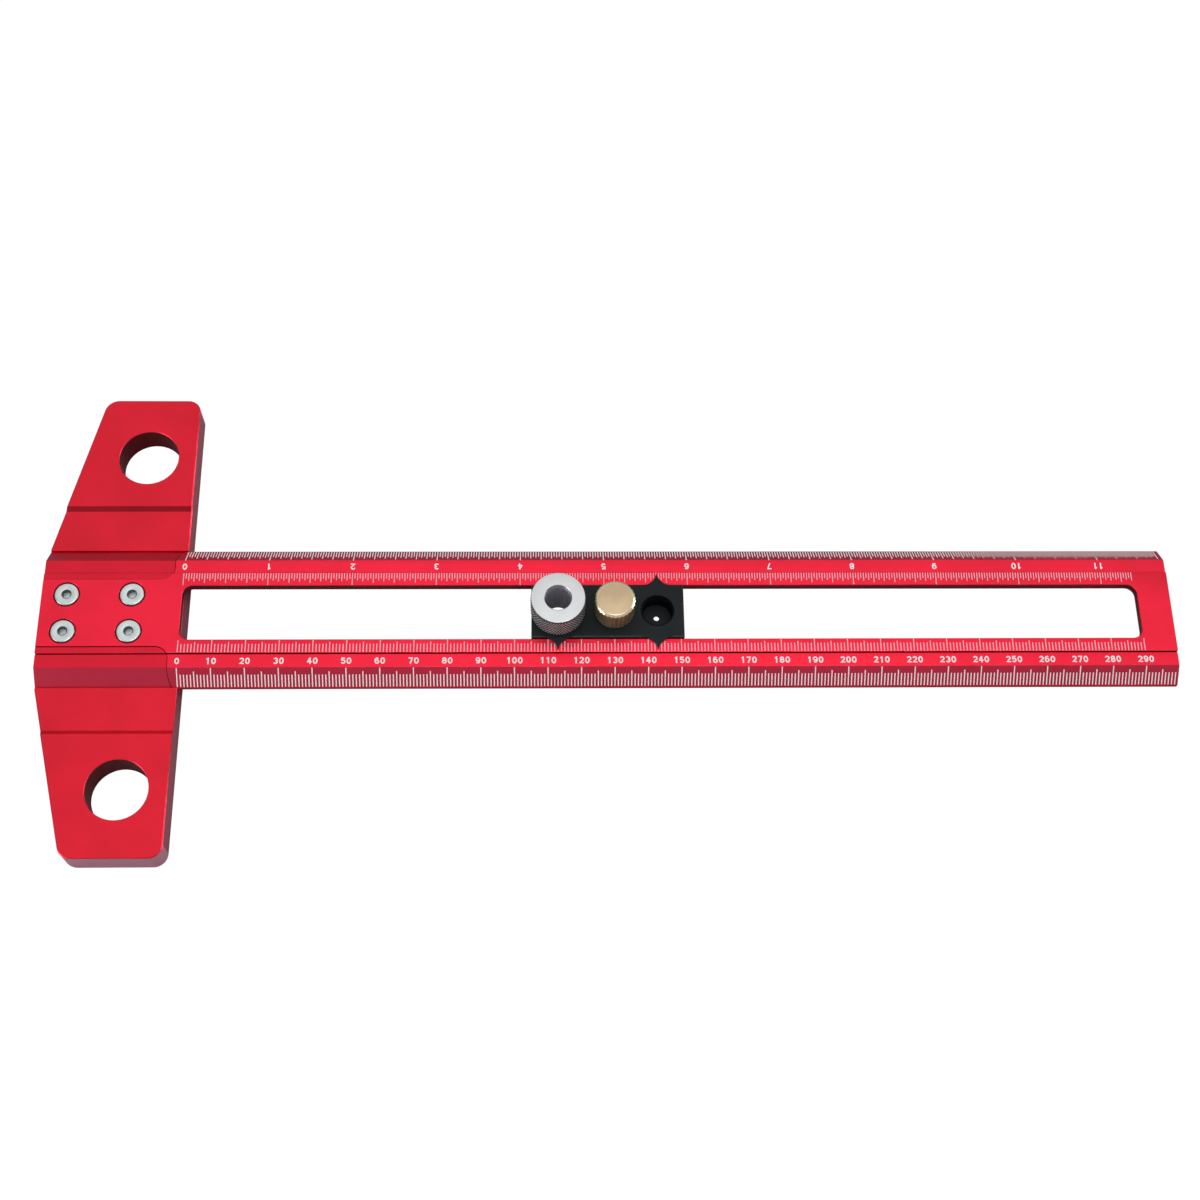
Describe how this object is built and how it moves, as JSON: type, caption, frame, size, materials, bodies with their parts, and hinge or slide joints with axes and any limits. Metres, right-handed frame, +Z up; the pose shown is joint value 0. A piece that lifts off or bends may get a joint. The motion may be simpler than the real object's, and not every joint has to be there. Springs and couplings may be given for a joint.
{
  "type": "t square",
  "caption": "Red anodised T-square with a slotted, graduated blade and a sliding black carriage that holds a knurled drill guide and a brass lock knob.",
  "frame": {"origin": "on the fence face, on the blade's centre line, at the level of the blade's underside; the scale's zero", "axes": "+X along the blade, away from the fence face; +Y across the blade, towards the inch scale; +Z up, out of the blade's graduated side"},
  "size_m": [0.342, 0.15, 0.0233],
  "materials": {
    "head_anodise": "fine bead-blasted red anodising",
    "blade_anodise": "fine bead-blasted red anodising, graduations in white",
    "graduation_white": "white filled lines and numerals, almost flush",
    "screw_steel": "satin stainless",
    "slider_anodise": "satin black anodising",
    "plate_steel": "bright zinc-plated",
    "knob_brass": "turned and knurled, lacquered",
    "washer_nylon": "plain nylon",
    "collar_satin": "matt silver with a diamond knurl",
    "liner_steel": "hardened, ground bore"
  },
  "bodies": {
    "square": {"head": "head_anodise", "blade": "blade_anodise", "blade_screw_1": "screw_steel", "blade_screw_2": "screw_steel", "blade_screw_3": "screw_steel", "blade_screw_4": "screw_steel"},
    "slider": {"slider_body": "slider_anodise", "knob_washer": "washer_nylon"},
    "knob": {"lock_knob": "knob_brass", "lock_stud": "plate_steel"},
    "clamp": {"clamp_plate": "plate_steel"},
    "liner": {"guide_liner": "liner_steel"},
    "collar": {"guide_collar": "collar_satin"}
  },
  "joints": [
    {"name": "slider_slide", "type": "slide", "parent": "square", "child": "slider", "axis": [1, 0, 0], "range_m": [-0.1028, 0.1368]},
    {"name": "knob_turn", "type": "hinge", "parent": "slider", "child": "knob", "pos_m": [0.13, 0, 0.0069], "axis": [0, 0, 1], "range_deg": [0, 205]},
    {"name": "clamp_drop", "type": "slide", "parent": "slider", "child": "clamp", "axis": [0, 0, -1], "range_m": [0, 0.0004]},
    {"name": "guide_lift", "type": "slide", "parent": "slider", "child": "liner", "axis": [0, 0, 1], "range_m": [0, 0.006]},
    {"name": "guide_turn", "type": "hinge", "parent": "liner", "child": "collar", "pos_m": [0.113, 0, 0.0069], "axis": [0, 0, 1], "range_deg": [0, 2160]}
  ],
  "couplings": [
    {"joint": "clamp_drop", "follows": "knob_turn", "m_per_rad": 0.00011141},
    {"joint": "guide_lift", "follows": "guide_turn", "m_per_rad": 0.00015915}
  ]
}
